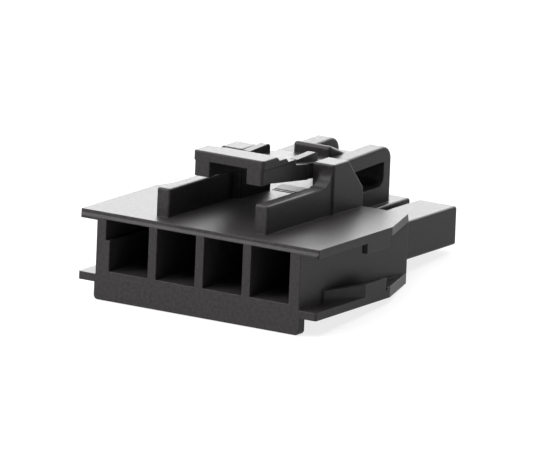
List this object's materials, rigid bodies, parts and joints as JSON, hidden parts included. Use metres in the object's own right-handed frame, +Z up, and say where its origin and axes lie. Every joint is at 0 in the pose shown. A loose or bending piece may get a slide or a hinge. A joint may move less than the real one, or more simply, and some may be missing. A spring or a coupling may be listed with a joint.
{
  "type": "cable connector",
  "caption": "Hollow single-row cable connector housing with separate mating silos, side flanges, front skirt and a thumb-pad latch lever between guards.",
  "frame": {"origin": "middle of the row of ways on the wire-side face, level with the axes of the cavities", "axes": "+X along the row of ways, +Y from the wire side to the mating side, +Z up through the latch lever"},
  "size_m": [0.038, 0.0433, 0.0212],
  "materials": {
    "black_nylon": "fine matte moulded"
  },
  "bodies": {
    "root": {"housing": "black_nylon"}
  },
  "joints": []
}
